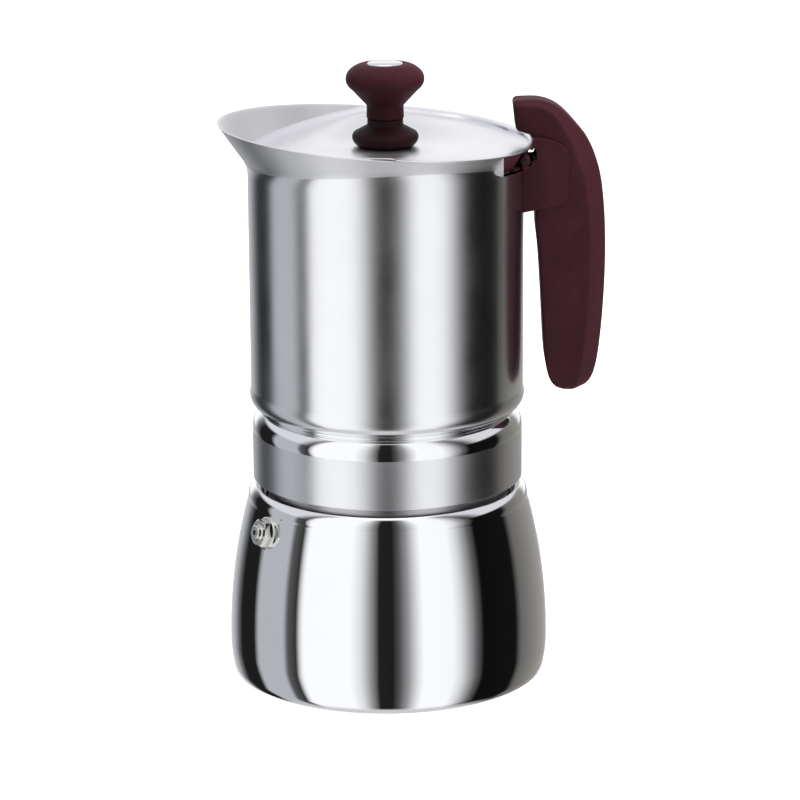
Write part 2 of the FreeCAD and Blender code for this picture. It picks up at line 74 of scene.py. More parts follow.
# =====================================================================================
# materials
# =====================================================================================
class Surface:
    """A node material in the making: a Principled shader and short ways to wire nodes."""

    def __init__(self, name, **sockets):
        self.material = bpy.data.materials.new(name)
        self.material.use_nodes = True
        self.tree = self.material.node_tree
        self.shader = self.tree.nodes["Principled BSDF"]
        for socket, value in sockets.items():
            self.shader.inputs[socket.replace("_", " ")].default_value = value

    def node(self, kind, **settings):
        made = self.tree.nodes.new(kind)
        for key, value in settings.items():
            if key in made.inputs:
                made.inputs[key].default_value = value
            else:
                setattr(made, key, value)
        return made

    def link(self, output, target):
        self.tree.links.new(output, target)

    def place(self):
        return self.node("ShaderNodeTexCoord").outputs["Object"]

    def polar(self, around, along, radial=0.0):
        """Coordinates (turn * around, height * along, radius * radial) about the pot's axis."""
        coordinates = self.node("ShaderNodeTexCoord")
        split = self.node("ShaderNodeSeparateXYZ")
        self.link(coordinates.outputs["Object"], split.inputs[0])
        turn = self.node("ShaderNodeMath", operation="ARCTAN2")
        self.link(split.outputs["Y"], turn.inputs[0])
        self.link(split.outputs["X"], turn.inputs[1])
        square = self.node("ShaderNodeVectorMath", operation="MULTIPLY")
        square.inputs[1].default_value = (1, 1, 0)
        self.link(coordinates.outputs["Object"], square.inputs[0])
        length = self.node("ShaderNodeVectorMath", operation="LENGTH")
        self.link(square.outputs[0], length.inputs[0])
        join = self.node("ShaderNodeCombineXYZ")
        for source, factor, target in ((turn.outputs[0], around, "X"), (split.outputs["Z"], along, "Y"),
                                       (length.outputs["Value"], radial, "Z")):
            times = self.node("ShaderNodeMath", operation="MULTIPLY")
            times.inputs[1].default_value = factor
            self.link(source, times.inputs[0])
            self.link(times.outputs[0], join.inputs[target])
        return join.outputs[0]

    def noise(self, vector, scale, detail=3.0, roughness=0.5):
        texture = self.node("ShaderNodeTexNoise", Scale=scale, Detail=detail, Roughness=roughness)
        self.link(vector, texture.inputs["Vector"])
        return texture.outputs["Fac"]

    def spread(self, value, low, high, out_low, out_high):
        """Map value from low..high to out_low..out_high, clamped."""
        mapped = self.node("ShaderNodeMapRange")
        for socket, number in (("From Min", low), ("From Max", high),
                               ("To Min", out_low), ("To Max", out_high)):
            mapped.inputs[socket].default_value = number
        self.link(value, mapped.inputs["Value"])
        return mapped.outputs["Result"]

    def tint(self, factor, colour_a, colour_b):
        mixed = self.node("ShaderNodeMix", data_type="RGBA")
        mixed.inputs["A"].default_value = (*colour_a, 1)
        mixed.inputs["B"].default_value = (*colour_b, 1)
        self.link(factor, mixed.inputs["Factor"])
        return mixed.outputs["Result"]

    def bump(self, height, strength, distance):
        bump = self.node("ShaderNodeBump", Strength=strength, Distance=distance)
        self.link(height, bump.inputs["Height"])
        return bump.outputs["Normal"]

    def feed(self, socket, output):
        self.link(output, self.shader.inputs[socket])


def steel(name, colour, rough_low, rough_high, brush=None, brush_strength=0.0, brush_distance=2e-6):
    """Stainless steel with faint smudges. brush is (around, along, radial) for fine lathe or wipe lines."""
    made = Surface(name, Metallic=1.0, Base_Color=(*colour, 1))
    smudge = made.noise(made.place(), 38.0, 4.0, 0.6)
    made.feed("Roughness", made.spread(smudge, 0.35, 0.7, rough_low, rough_high))
    darker = tuple(c * 0.965 for c in colour)
    made.feed("Base Color", made.tint(smudge, colour, darker))
    if brush:
        lines = made.noise(made.polar(*brush), 1.0, 2.0, 0.7)
        made.feed("Normal", made.bump(lines, brush_strength, brush_distance))
    return made.material


def soft_touch(name, colour, roughness, grain=2600.0, sheen=0.04, bump=0.10, specular=0.22):
    """Rubbery moulded plastic: even matte colour, very fine grain, slight rub marks."""
    made = Surface(name, Roughness=roughness, IOR=1.46)
    made.shader.inputs["Specular IOR Level"].default_value = specular
    made.shader.inputs["Sheen Weight"].default_value = sheen
    made.shader.inputs["Sheen Roughness"].default_value = 0.4
    made.shader.inputs["Sheen Tint"].default_value = (0.9, 0.6, 0.62, 1)
    rub = made.noise(made.place(), 70.0, 5.0, 0.65)
    lighter = tuple(min(1.0, c * 1.22 + 0.002) for c in colour)
    made.feed("Base Color", made.tint(made.spread(rub, 0.4, 0.75, 0.0, 1.0), colour, lighter))
    made.feed("Roughness", made.spread(rub, 0.3, 0.7, roughness - 0.05, roughness + 0.06))
    fine = made.noise(made.place(), grain, 2.0, 0.6)
    made.feed("Normal", made.bump(fine, bump, 2e-5))
    return made.material


def make_materials():
    pale = (0.93, 0.935, 0.95)
    return {
        "boiler": steel("boiler_mirror", pale, 0.018, 0.035, (40.0, 900.0, 0.0), 0.05, 1e-6),
        "base": steel("base_turned", (0.62, 0.63, 0.64), 0.285, 0.34, (3.0, 0.0, 4200.0), 0.35, 6e-6),
        "neck": steel("neck_turned", (0.60, 0.60, 0.61), 0.285, 0.35, (6.0, 4200.0, 0.0), 0.25, 5e-6),
        "inside": steel("inner_steel", (0.72, 0.73, 0.74), 0.285, 0.36, (5.0, 2600.0, 1500.0), 0.2, 5e-6),
        "shoulder": steel("collar_polish", pale, 0.03, 0.06),
        "collar": steel("collar_satin", (0.91, 0.915, 0.935), 0.28, 0.33, (260.0, 14.0, 0.0), 0.10, 2e-6),
        "vessel": steel("vessel_polish", (0.92, 0.925, 0.94), 0.20, 0.25, (260.0, 14.0, 0.0), 0.08, 2e-6),
        "flare": steel("flare_satin", (0.86, 0.865, 0.88), 0.33, 0.42, (6.0, 1900.0, 700.0), 0.22, 6e-6),
        "spout": steel("spout_satin", (0.95, 0.95, 0.96), 0.46, 0.54, (6.0, 1900.0, 700.0), 0.18, 6e-6),
        "lid": steel("lid_satin", (0.94, 0.945, 0.965), 0.28, 0.34, (110.0, 0.0, 160.0), 0.10, 3e-6),
        "disc": steel("disc_satin", (0.90, 0.90, 0.92), 0.20, 0.26),
        "valve": steel("valve_steel", (0.66, 0.66, 0.63), 0.05, 0.10),
        "brass": steel("valve_brass", (0.78, 0.60, 0.33), 0.18, 0.26),
        "fastener": steel("fastener_steel", (0.66, 0.66, 0.67), 0.2, 0.265),
        "burgundy": soft_touch("burgundy_soft", (0.030, 0.0066, 0.0100), 0.58, specular=0.10),
        "foot": soft_touch("burgundy_foot", (0.015, 0.0050, 0.0062), 0.5, sheen=0.0, bump=0.05, specular=0.1),
        "rubber": soft_touch("seal_rubber", (0.66, 0.63, 0.57), 0.55, grain=1500.0, sheen=0.1),
        # dark steel for the pins; on the lid lugs, which are steel too, this dark colour is painted shade for
        # the hinge's shadow
        "dark": steel("dark_steel_and_painted_shade", (0.10, 0.10, 0.10), 0.285, 0.35),
    }


MATERIALS = make_materials()


# =====================================================================================
# mesh helpers
# =====================================================================================
def add_object(name, data):
    made = bpy.data.objects.new(name, data)
    bpy.context.scene.collection.objects.link(made)
    return made


def as_object(name, points, faces, materials, sharp_degrees=35.0):
    """Smooth mesh object from points in millimetres, with sharp edges above sharp_degrees."""
    mesh = bpy.data.meshes.new(name)
    mesh.from_pydata([tuple(c * MM for c in p) for p in points], [], faces)
    mesh.validate()
    for key in materials:
        mesh.materials.append(MATERIALS[key])
    mesh.polygons.foreach_set("use_smooth", [True] * len(mesh.polygons))
    mesh.set_sharp_from_angle(angle=math.radians(sharp_degrees))
    return add_object(name, mesh)


def finish_piece(piece, body, slot, *replaced):
    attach(piece, body)
    if replaced:
        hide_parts(*replaced)
    return piece


def rounded(corners, closed=True, step=math.radians(9)):
    """Points of an outline whose corners are (a, b, radius). Arcs replace the corners."""
    points = []
    count = len(corners)
    for i, corner in enumerate(corners):
        here = Vector(corner[:2])
        radius = corner[2] if len(corner) > 2 else 0.0
        if radius <= 0 or (not closed and i in (0, count - 1)):
            points.append(tuple(here))
            continue
        before = Vector(corners[i - 1][:2]) - here
        after = Vector(corners[(i + 1) % count][:2]) - here
        half = before.angle(after) / 2
        reach = min(radius / math.tan(half), before.length * 0.49, after.length * 0.49)
        fit = reach * math.tan(half)
        start = here + before.normalized() * reach
        end = here + after.normalized() * reach
        middle = here + (before.normalized() + after.normalized()).normalized() * (fit / math.sin(half))
        turn = math.pi - 2 * half
        steps = max(2, math.ceil(turn / step))
        a = start - middle
        b = end - middle
        for k in range(steps + 1):
            t = k / steps
            point = middle + (a * math.sin((1 - t) * turn) + b * math.sin(t * turn)) / math.sin(turn)
            points.append(tuple(point))
    return points


def arc_through(start, middle, end, count):
    """Points along the circle through three points, without the first."""
    ax, ay = start
    bx, by = middle
    cx, cy = end
    d = 2 * (ax * (by - cy) + bx * (cy - ay) + cx * (ay - by))
    aa, bb, cc = ax * ax + ay * ay, bx * bx + by * by, cx * cx + cy * cy
    ux = (aa * (by - cy) + bb * (cy - ay) + cc * (ay - by)) / d
    uy = (aa * (cx - bx) + bb * (ax - cx) + cc * (bx - ax)) / d
    radius = math.hypot(ax - ux, ay - uy)
    first = math.atan2(ay - uy, ax - ux)
    last = math.atan2(cy - uy, cx - ux)
    via = math.atan2(by - uy, bx - ux)
    turn = (last - first) % (2 * math.pi)
    if (via - first) % (2 * math.pi) > turn:
        turn -= 2 * math.pi
    angles = [first + turn * k / count for k in range(1, count + 1)]
    return [(ux + radius * math.cos(angle), uy + radius * math.sin(angle)) for angle in angles]


def bend(start, corner, end, t):
    """Point at t of the curve that leaves start and reaches end along the lines through corner."""
    return start * (1 - t) ** 2 + corner * 2 * t * (1 - t) + end * t ** 2


def circle(radius, z, slices):
    angles = [2 * math.pi * i / slices for i in range(slices)]
    return [(radius * math.cos(angle), radius * math.sin(angle), z) for angle in angles]


def ring_faces(columns, size):
    """Faces between neighbouring columns of size points each, closed both ways."""
    faces = []
    for i in range(columns):
        j = (i + 1) % columns
        for k in range(size):
            m = (k + 1) % size
            faces.append([i * size + k, j * size + k, j * size + m, i * size + m])
    return faces


def lathe(name, profile, materials, slices=192, material_at=None):
    """Closed solid of revolution about Z. profile is a closed loop of (radius, z)."""
    points, faces, kinds, rows = [], [], [], []
    for radius, z in profile:
        if radius < 1e-6:
            rows.append([len(points)] * slices)
            points.append((0, 0, z))
            continue
        rows.append(list(range(len(points), len(points) + slices)))
        points += circle(radius, z, slices)
    for k in range(len(profile)):
        low, high = rows[k], rows[(k + 1) % len(profile)]
        if low[0] == low[1] and high[0] == high[1]:
            continue
        for i in range(slices):
            j = (i + 1) % slices
            ring = [low[i], low[j], high[j], high[i]]
            faces.append([v for n, v in enumerate(ring) if v not in ring[:n]])
            kinds.append(material_at(k) if material_at else 0)
    made = as_object(name, points, faces, materials)
    made.data.polygons.foreach_set("material_index", kinds)
    fix_normals(made)
    return made


def fix_normals(made, weld_within=0.0):
    """Join points closer than weld_within metres, then turn every face outwards."""
    work = bmesh.new()
    work.from_mesh(made.data)
    if weld_within:
        bmesh.ops.remove_doubles(work, verts=work.verts, dist=weld_within)
    bmesh.ops.recalc_face_normals(work, faces=work.faces)
    work.to_mesh(made.data)
    work.free()


# =====================================================================================
# boiler
# =====================================================================================
def belly_radius(z, inset=0.0):
    return BELLY_R - BELLY_ARC_R + math.sqrt((BELLY_ARC_R - inset) ** 2 - (z - BELLY_Z) ** 2)


def belly_points(z_from, z_to, count, inset=0.0):
    heights = [z_from + (z_to - z_from) * k / count for k in range(count + 1)]
    return [(belly_radius(z, inset), z) for z in heights]


def boiler_shell():
    profile = rounded([(44.9, 1.8), (46.2, 1.8, 0.4), (46.9, 0.0, 0.6), (FOOT_R + 0.55, 0.0, 0.35),
                       (BELLY_R - 0.98, 1.5)], closed=False)
    profile += arc_through((BELLY_R - 0.98, 1.5), (BELLY_R - 0.3, 5.6), (BELLY_R, BELLY_Z), 14)[:-1]
    profile += belly_points(BELLY_Z, SIDE_TOP_Z, 60)
    shoulder_edge = (SHOULDER_R + 0.45, SHOULDER_Z - 0.25)
    profile += arc_through(profile[-1], (SHOULDER_R + 1.8, 61.9), shoulder_edge, 18)
    profile += [(SHOULDER_R + 0.2, SHOULDER_Z - 0.05), (SHOULDER_R - 0.1, SHOULDER_Z)]
    polished = len(profile)
    profile += [(radius, SHOULDER_Z - depth)
                for radius, depth in ((NECK_R, 0.0), (NECK_R, BOILER_WALL), (42.6, BOILER_WALL))]
    profile += belly_points(60.0, BELLY_Z, 30, BOILER_WALL)
    profile += arc_through(profile[-1], (BELLY_R - 3.2, 5.4), (BELLY_R - 7.5, 3.4), 12)
    profile += [(0, 3.4), (0, 1.8)]
    made = lathe("boiler_shell_polished", profile, ["boiler", "inside"],
                 material_at=lambda k: 0 if k < polished else 1)
    return finish_piece(made, "boiler", "mirror_steel", "boiler_shell")


def boiler_neck():
    """Neck with a true helical thread."""
    slices, levels = 160, 90
    foot_z, side_z, z_start, turns = 60.6, 63.6, 67.6, 3
    points, faces = [], []
    for level in range(levels + 1):
        z = side_z + (NECK_TOP_Z - side_z) * level / levels
        for i in range(slices):
            angle = 2 * math.pi * i / slices
            phase = (z - z_start) / THREAD_PITCH - angle / (2 * math.pi)
            ridge = 0.5 - 0.5 * math.cos(2 * math.pi * phase)
            fade = max(0.0, min(1.0, (z - z_start) / THREAD_FADE,
                                (z_start + turns * THREAD_PITCH - z) / THREAD_FADE))
            radius = NECK_R + THREAD_DEPTH * fade * ridge ** 1.4
            if z > NECK_TOP_Z - NECK_CHAMFER:
                radius -= z - (NECK_TOP_Z - NECK_CHAMFER)
            points.append((radius * math.cos(angle), radius * math.sin(angle), z))
    for radius, z in ((NECK_BORE_R, NECK_TOP_Z), (NECK_BORE_R, foot_z), (NECK_R, foot_z)):
        points += circle(radius, z, slices)
    total = len(points) // slices
    for k in range(total):
        for i in range(slices):
            j = (i + 1) % slices
            low, high = k * slices, ((k + 1) % total) * slices
            faces.append([low + i, low + j, high + j, high + i])
    made = as_object("boiler_neck_threaded", points, faces, ["neck"])
    fix_normals(made)
    return finish_piece(made, "boiler", "plain_steel", "boiler_neck")


# =====================================================================================
# collar and vessel
# =====================================================================================
def collar():
    profile = rounded([(COLLAR_R - 0.5, COLLAR_BOTTOM_Z), (COLLAR_R, COLLAR_BOTTOM_Z, 0.35),
                       (COLLAR_R, COLLAR_TOP_Z)], closed=False)
    satin_end = len(profile)
    profile += arc_through(profile[-1], (COLLAR_R - 0.45, 85.8), (WAIST_R, WAIST_Z), 26)
    bead, bead_end = (WAIST_R + 0.35, WAIST_Z + 0.55), (WAIST_R - 0.2, VESSEL_BOTTOM_Z)
    profile += arc_through(profile[-1], bead, bead_end, 8)
    polished_end = len(profile)
    hub, socket, ceiling_r, thread_r = 5.2, 38.0, 39.4, 41.9
    profile += [(socket, VESSEL_BOTTOM_Z), (socket, CEILING_Z + 1.3), (hub, CEILING_Z + 1.3),
                (hub, CEILING_Z), (ceiling_r, CEILING_Z), (ceiling_r, 80.0), (thread_r, 79.4)]
    for turn in range(3):
        z = 78.6 - turn * THREAD_PITCH
        crest, end = (thread_r - THREAD_DEPTH, z - THREAD_PITCH / 2), (thread_r, z - THREAD_PITCH)
        profile += [(thread_r, z)] + arc_through((thread_r, z), crest, end, 8)[:-1]
    profile += [(thread_r, 69.6), (thread_r, COLLAR_BOTTOM_Z + 1.0), (42.5, COLLAR_BOTTOM_Z)]

    def kind(k):
        if k < satin_end:
            return 0
        return 1 if k < polished_end else 2
    made = lathe("collar_turned", profile, ["collar", "shoulder", "inside"], material_at=kind)
    return finish_piece(made, "pot", "satin_steel", "collar")


def rim_point(turn, inset=0.0):
    x = RIM_CENTRE_X + (RIM_A - inset) * math.cos(turn)
    y = (RIM_B - inset) * math.sin(turn)
    return Vector((x, y, RIM_Z - RIM_SLOPE * (RIM_CENTRE_X + RIM_A * math.cos(turn))))


def flare_point(turn, reach, inset=0.0):
    start = Vector(((FLARE_R - inset) * math.cos(turn), (FLARE_R - inset) * math.sin(turn), FLARE_Z))
    return start.lerp(rim_point(turn, inset), reach)


def crease_reach(turn, inset=0.0):
    """How far up its ruling the flare leaves the straight wall."""
    low, high = 0.0, 1.0
    for _ in range(40):
        middle = (low + high) / 2
        point = flare_point(turn, middle, inset)
        if math.hypot(point.x, point.y) < VESSEL_R - inset:
            low = middle
        else:
            high = middle
    return high



def wall_column(turn, inset):
    """Points up one side of the vessel, from above its bottom rounding to the rim."""
    reach = crease_reach(turn, inset)
    crease = flare_point(turn, reach, inset)
    rim = rim_point(turn, inset)
    radius = VESSEL_R - inset
    azimuth = math.atan2(crease.y, crease.x)
    down = Vector((radius * math.cos(azimuth), radius * math.sin(azimuth), crease.z - CREASE_BLEND))
    up = crease + (rim - crease).normalized() * CREASE_BLEND
    column = [Vector((down.x, down.y, WALL_START_Z + (down.z - WALL_START_Z) * k / 12)) for k in range(13)]
    column += [bend(down, crease, up, k / 12) for k in range(1, 13)]
    flare_start = len(column) - 5
    column += [up.lerp(rim, k / 10) for k in range(1, 11)]
    return column, flare_start


def cut_by_notch(column):
    """Lower the points that stand above the hinge notch's floor down to it."""
    return [Vector((p.x, p.y, min(p.z, NOTCH_Z))) if p.z > NOTCH_Z else p for p in column]


def vessel():
    """Rolled wall, bottom rounding, flared rim with a thin lip, and the hinge notch."""
    slices = 256
    notch_turn = math.asin(NOTCH_HALF / RIM_B)
    turns = [2 * math.pi * i / slices for i in range(slices)]
    turns += [edge + side for edge in (notch_turn, 2 * math.pi - notch_turn) for side in (-1e-4, 1e-4)]
    turns.sort()
    points = []
    for turn in turns:
        outer, flare_start = wall_column(turn, 0.0)
        inner, _ = wall_column(turn, VESSEL_WALL)
        in_notch = turn < notch_turn or turn > 2 * math.pi - notch_turn
        if in_notch:
            outer, inner = cut_by_notch(outer), cut_by_notch(inner)
        azimuth = math.atan2(outer[0].y, outer[0].x)

        def ring(profile):
            return [Vector((r * math.cos(azimuth), r * math.sin(azimuth), z)) for r, z in profile]
        foot = [(41.0, 90.8), (41.0, 90.25), (41.3, VESSEL_BOTTOM_Z), (42.4, VESSEL_BOTTOM_Z)]
        foot += arc_through((42.4, VESSEL_BOTTOM_Z), (44.15, 91.5), (VESSEL_R, 96.6), 14)
        inner_foot = arc_through((VESSEL_R - VESSEL_WALL, WALL_START_Z), (43.1, 92.4), (41.4, 90.8), 10)
        top_outer, top_inner = outer[-1], inner[-1]
        lift = Vector((0, 0, 0.0 if in_notch else 0.12))
        lip = [top_outer.lerp(top_inner, 0.2) + lift, top_outer.lerp(top_inner, 0.8) + lift]
        column = ring(foot) + outer + lip + inner[::-1] + ring(inner_foot)
        points += [tuple(p) for p in column]
    size = len(column)
    wall_end, rim = len(foot) + flare_start, len(foot) + len(outer)
    flare_end = rim + len(lip) + len(inner) - flare_start
    wall, flare, inside, spout = range(4)
    kinds = [wall] * wall_end + [flare] * (rim + 1 - wall_end)
    kinds += [spout] * (flare_end - rim - 1) + [inside] * (size - flare_end)
    faces = ring_faces(len(turns), size)
    made = as_object("vessel_flared", points, faces, ["vessel", "flare", "inside", "spout"])
    made.data.polygons.foreach_set("material_index", kinds * len(turns))
    fix_normals(made)
    return finish_piece(made, "pot", "vessel_steel", "vessel")


# =====================================================================================
# lid
# =====================================================================================
def ease_between(value, low, high):
    """Smooth step from 0 at low to 1 at high."""
    t = max(0.0, min(1.0, (value - low) / (high - low)))
    return t * t * (3 - 2 * t)


def lid_level(x):
    """Height of the lip's underside: two slopes joined by an arc-like bend."""
    flat = RIM_Z + LID_LIP_GAP - RIM_SLOPE * LID_BEND_X
    toward_handle = flat - RIM_SLOPE * (x - LID_BEND_X)
    toward_spout = flat + LID_BEND_SLOPE * (x - LID_BEND_X)
    offset = (x - LID_BEND_X) / LID_BEND_TANGENT
    if offset >= 1:
        return toward_handle
    if offset <= -1:
        return toward_spout
    turn = RIM_SLOPE + LID_BEND_SLOPE
    return toward_handle - turn * LID_BEND_TANGENT * (1 - offset) ** 2 / 4


def inner_flare_radius(azimuth, z):
    """Radius of the flare's inner face at this height and azimuth, which is 180 degrees at most."""
    low, high = 0.0, 1.4
    turn = azimuth
    for _ in range(30):
        reach = (low + high) / 2
        for _ in range(4):
            point = flare_point(turn, reach, VESSEL_WALL)
            turn += azimuth - math.atan2(point.y, point.x)
        if point.z < z:
            low = reach
        else:
            high = reach
    return math.hypot(point.x, point.y)


def lid_edge(azimuth):
    """Radius of the lid's edge: over the rim on the handle side, inside the flare on the spout side."""
    direction = Vector((math.cos(azimuth), math.sin(azimuth)))
    radius = LID_R
    if direction.x * LID_R < LID_OVERHANG_X:
        for _ in range(6):
            z = lid_level(radius * direction.x)
            radius = min(LID_R, inner_flare_radius(azimuth, z) - 0.5)
    return radius


def lid_face(x, y):
    """Height of the face's upper side: dished towards the knob's seat, following the bend near the wall."""
    band = lid_level(x) + LID_SHEET - LID_STEP
    radius = math.hypot(x, y)
    dish = LID_SEAT_Z + math.hypot(max(0.0, radius - LID_SEAT_R + 1.0), 0.6) * LID_DISH_RISE
    blend = 1.0
    share = max(0.0, min(1.0, 0.5 + 0.5 * (dish - band) / blend))
    low = dish + (band - dish) * share - blend * share * (1 - share)
    return band + (low - band) * ease_between(LID_FACE_R - radius, 0.0, 6.0)


def lid():
    slices = 256
    points = []
    radii = [2.2, 5.0, 8.0] + [9.0 + k * (LID_FACE_R - 9.0) / 38 for k in range(39)]
    lip = LID_LIP_RISE
    for i in range(slices):
        azimuth = 2 * math.pi * i / slices
        mirrored = azimuth if azimuth <= math.pi else 2 * math.pi - azimuth
        edge = lid_edge(mirrored)
        cos, sin = math.cos(azimuth), math.sin(azimuth)
        column = [(r * cos, r * sin, lid_face(r * cos, r * sin)) for r in radii]
        crisp = ease_between(math.cos(azimuth - math.radians(14)), 0.55, 0.90)
        widened = ease_between(cos, 0.905, 0.975) * (edge - 1.35 - LID_DISH_R)
        drop = 1.15 * ease_between(cos, 0.962, 0.984)
        span = 4.0 - 3.2 * crisp
        foot, top = LID_FACE_R, LID_DISH_R + widened
        wall = []
        for k in range(1, 11):
            t = k / 10
            wall.append((foot + (top - 0.2 - span - foot) * min(1.0, 4 * t) + span * t,
                         LID_SHEET - LID_STEP + (lip - LID_SHEET + LID_STEP) * t * t * (3 - 2 * t)))
        lip_outline = rounded([(top, lip), (edge - 0.1, lip, 0.45), (edge, 0.0, 0.12), (edge - 0.55, 0.0)],
                              closed=False, step=math.radians(12))
        wall += [(r, h - drop if h < 0.15 else h) for r, h in lip_outline[1:]]
        wall += [(edge - 0.6, 0.0), (top + 0.1, 0.0), (top, -0.2), (top, -LID_STEP + 0.2),
                 (top - 0.3, -LID_STEP)]
        column += [(r * cos, r * sin, lid_level(r * cos) + h) for r, h in wall]
        column += [(r * cos, r * sin, lid_face(r * cos, r * sin) - LID_SHEET) for r in radii[::-1]]
        points += column
    made = as_object("lid_plate", points, ring_faces(slices, len(column)), ["lid"])
    fix_normals(made)
    return finish_piece(made, "lid", "lid_steel", "lid")


# =====================================================================================
# knob
# =====================================================================================
def knob():
    seam_depth, seam_z, seam_half = 0.12, 196.0, 0.16
    neck = rounded([(5.7, KNOB_Z), (6.05, KNOB_Z, 0.3), (5.95, 189.6, 1.2), (11.0, 194.9, 2.0)], closed=False)
    profile = [(KNOB_BORE_R, KNOB_Z)] + neck[1:-1] + [(10.9, 194.9)]
    for r, z in arc_through((10.9, 194.9), (12.72, 198.2), (11.2, 201.3), 24):
        profile.append((r - seam_depth * math.exp(-((z - seam_z) / seam_half) ** 2), z))
    profile += arc_through(profile[-1], (8.9, 202.7), (6.2, 203.15), 10)
    profile += [(5.85, 202.9), (5.8, DISC_SEAT_Z), (KNOB_BORE_R, DISC_SEAT_Z)]
    made = lathe("knob_head", profile, ["burgundy"], slices=128)
    return finish_piece(made, "lid", "burgundy_soft", "knob")


def knob_disc():
    profile = [(0, DISC_SEAT_Z), (5.72, DISC_SEAT_Z), (5.75, 203.0), (5.5, 203.35), (5.1, 203.5), (0, 203.5)]
    made = lathe("knob_disc_plain", profile, ["disc"], slices=96)
    return finish_piece(made, "lid", "disc_steel", "knob_disc")


def knob_foot():
    """Flared foot with a rounded underside that nests in the lid's dished seat."""
    top = 185.2
    side = rounded([(5.3, top), (5.8, top, 0.3), (5.8, 183.2, 0.8), (10.0, 180.9)], closed=False)
    profile = [(KNOB_BORE_R, top)] + side[1:]
    profile += arc_through((10.0, 180.9), (10.6, 180.1), (10.75, 179.0), 8)
    profile += arc_through((10.75, 179.0), (10.0, 177.35), (7.4, LID_SEAT_Z), 16)
    profile += [(KNOB_BORE_R, LID_SEAT_Z)]
    made = lathe("knob_foot_flared", profile, ["foot"], slices=128)
    return finish_piece(made, "lid", "burgundy_foot", "knob_foot")


# =====================================================================================
# handle
# =====================================================================================
# inner edge, back edge, share of the width where the side panel ends, half width, back half width
HANDLE_STATIONS = (
    ((57.3, 95.4), (63.6, 95.9), 0.60, 5.2, 2.2),
    ((55.2, 96.5), (65.8, 97.2), 0.62, 6.6, 2.5),
    ((53.4, 98.9), (67.5, 99.9), 0.65, 7.5, 2.8),
    ((52.2, 102.8), (68.7, 104.2), 0.68, 7.9, 3.0),
    ((51.4, 108.5), (69.6, 110.2), 0.71, 8.0, 3.0),
    ((50.8, 118.0), (70.5, 119.6), 0.73, 8.0, 3.0),
    ((50.2, 129.5), (71.15, 131.0), 0.75, 8.0, 3.0),
    ((49.4, 141.5), (71.35, 143.0), 0.765, 8.0, 3.0),
    ((48.3, 153.4), (70.85, 156.0), 0.765, 8.0, 3.0),
    ((49.6, 162.5), (69.3, 168.0), 0.73, 8.0, 3.0),
    ((50.4, 170.8), (66.0, 177.2), 0.67, 8.0, 3.0),
    ((49.8, 176.6), (61.5, 183.4), 0.70, 8.0, 3.2),
    ((46.8, 180.2), (55.8, 189.1), 0.80, 7.9, 3.6),
    ((45.0, 181.0), (49.8, 191.5), 0.84, 7.6, 4.2),
    ((43.8, 181.35), (42.7, 191.55), 0.85, 7.2, 4.6),
)


def handle_section(inner, back, share, half, back_half):
    """Rounded six-sided section in its own plane: w along inner-to-back, y across."""
    width = math.hypot(back[0] - inner[0], back[1] - inner[1])
    corners = [(0, -half + 1.1, 1.5), (share * width, -half, 1.0), (width, -back_half, 2.2),
               (width, back_half, 2.2), (share * width, half, 1.0), (0, half - 1.1, 1.5)]
    return rounded_fixed(corners, 5), width


def corner_curve(corners, i):
    """Start, corner and end of the curve that rounds corner i."""
    here = Vector(corners[i][:2])
    before = Vector(corners[i - 1][:2]) - here
    after = Vector(corners[(i + 1) % len(corners)][:2]) - here
    half = before.angle(after) / 2
    reach = min(corners[i][2] / math.tan(half), before.length * 0.42, after.length * 0.42)
    return here + before.normalized() * reach, here, here + after.normalized() * reach


def rounded_fixed(corners, steps):
    """Like rounded, with the same number of points at every corner and three between corners."""
    points = []
    for i in range(len(corners)):
        start, here, end = corner_curve(corners, i)
        next_start = corner_curve(corners, (i + 1) % len(corners))[0]
        points += [bend(start, here, end, k / steps) for k in range(steps + 1)]
        points += [end.lerp(next_start, share) for share in (0.12, 0.5, 0.88)]
    return points


def smooth_stations(stations, steps):
    """Catmull-Rom through the stations' numbers."""
    rows = [(*inner, *back, share, half, back_half) for inner, back, share, half, back_half in stations]
    out = []
    last = len(rows) - 1
    for i in range(last):
        p0, p1, p2, p3 = rows[max(i - 1, 0)], rows[i], rows[i + 1], rows[min(i + 2, last)]
        for k in range(steps):
            t = k / steps
            out.append([0.5 * (2 * b + (c - a) * t + (2 * a - 5 * b + 4 * c - d) * t * t
                               + (3 * b - a - 3 * c + d) * t ** 3) for a, b, c, d in zip(p0, p1, p2, p3)])
    out.append(list(rows[last]))
    return out


def handle():
    rows = smooth_stations(HANDLE_STATIONS, 7)
    loops = []
    for ix, iz, bx, bz, share, half, back_half in rows:
        section, width = handle_section((ix, iz), (bx, bz), share, half, back_half)
        along = Vector(((bx - ix) / width, 0, (bz - iz) / width))
        loops.append([Vector((ix, 0, iz)) + along * p.x + Vector((0, p.y, 0)) for p in section])
    lower = close_end(loops[0], Vector((-0.05, 0, -1)), 0.35, 0.55)
    nose = close_end(loops[-1], Vector((-1.0, 0, -0.08)), 1.75, 0.30)
    loops = lower[::-1] + loops + nose
    size = len(loops[0])
    points = [tuple(p) for loop in loops for p in loop]
    faces = []
    for k in range(len(loops) - 1):
        for i in range(size):
            j = (i + 1) % size
            faces.append([k * size + i, k * size + j, (k + 1) * size + j, (k + 1) * size + i])
    for k in (0, len(loops) - 1):
        centre = sum((p for p in loops[k]), Vector()) / size
        points.append(tuple(centre))
        faces += [[k * size + i, k * size + (i + 1) % size, len(points) - 1] for i in range(size)]
    made = as_object("handle_grip", points, faces, ["burgundy"], sharp_degrees=50)
    fix_normals(made)
    return finish_piece(made, "pot", "burgundy_soft", "handle")


